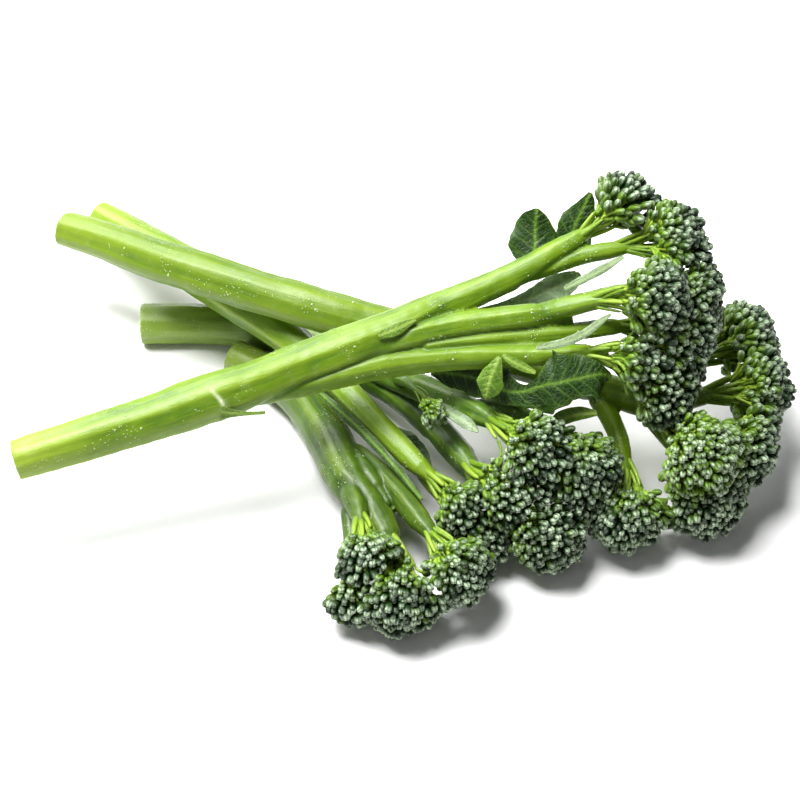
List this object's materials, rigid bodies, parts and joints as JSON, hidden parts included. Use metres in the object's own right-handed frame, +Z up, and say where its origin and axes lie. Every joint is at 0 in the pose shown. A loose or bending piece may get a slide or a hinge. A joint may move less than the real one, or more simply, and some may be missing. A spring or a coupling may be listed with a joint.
{
  "type": "bunch of broccolini",
  "caption": "Loose bunch of fresh broccolini spears lying across one another, with long branching green stems, small leaves and blue-green bud florets",
  "frame": {"origin": "middle of the footprint of the whole bunch, on the surface it lies on", "axes": "+X runs from the cut ends to the crowns, +Y away from a viewer who looks at the bunch from its front, +Z up"},
  "size_m": [0.2014, 0.1406, 0.0701],
  "materials": {
    "stem_green": "fresh waxy stalk, satin, with fine water drops",
    "stem_yellow": "fresh waxy stalk, yellower, satin",
    "stem_deep": "fresh waxy stalk, deeper green, satin",
    "buds_green": "tight blue-green flower buds, matte waxy bloom",
    "buds_young": "yellower young flower buds, matte",
    "leaf_dark": "dark green leaf with pale veins, satin",
    "leaf_pale": "pale grey-green leaf or bract, matte"
  },
  "bodies": {
    "root": {"top_stem": "stem_green", "back_stem": "stem_yellow", "crossing_stem": "stem_green", "middle_stem": "stem_deep", "near_stem": "stem_green", "top_floret_tip": "buds_green", "top_floret_far": "buds_green", "top_floret_right": "buds_green", "top_floret_crest": "buds_green", "top_floret_inner": "buds_green", "top_floret_near": "buds_green", "top_floret_low": "buds_green", "back_floret_far": "buds_green", "back_floret_right": "buds_green", "back_floret_young": "buds_young", "back_floret_near": "buds_green", "back_floret_low": "buds_green", "back_floret_hanging": "buds_green", "crossing_floret": "buds_green", "crossing_floret_low": "buds_green", "middle_floret_crest": "buds_green", "middle_floret_right": "buds_green", "middle_floret_low": "buds_green", "middle_floret_left": "buds_green", "side_shoot_floret": "buds_young", "near_floret_left": "buds_green", "near_floret_low": "buds_green", "near_floret_front": "buds_green", "near_floret_right": "buds_green", "top_leaf": "leaf_dark", "top_leaf_far": "leaf_dark", "pale_leaf": "leaf_pale", "front_leaf": "leaf_dark", "front_strap": "leaf_pale", "curled_leaf": "leaf_dark", "curled_lobe": "leaf_pale", "shoot_leaf": "leaf_pale", "strap_leaf_upper": "leaf_pale", "strap_leaf_lower": "leaf_pale", "long_bract": "leaf_dark", "joint_bract": "leaf_pale", "fork_bract": "leaf_pale", "deep_leaf": "leaf_dark"}
  },
  "joints": []
}
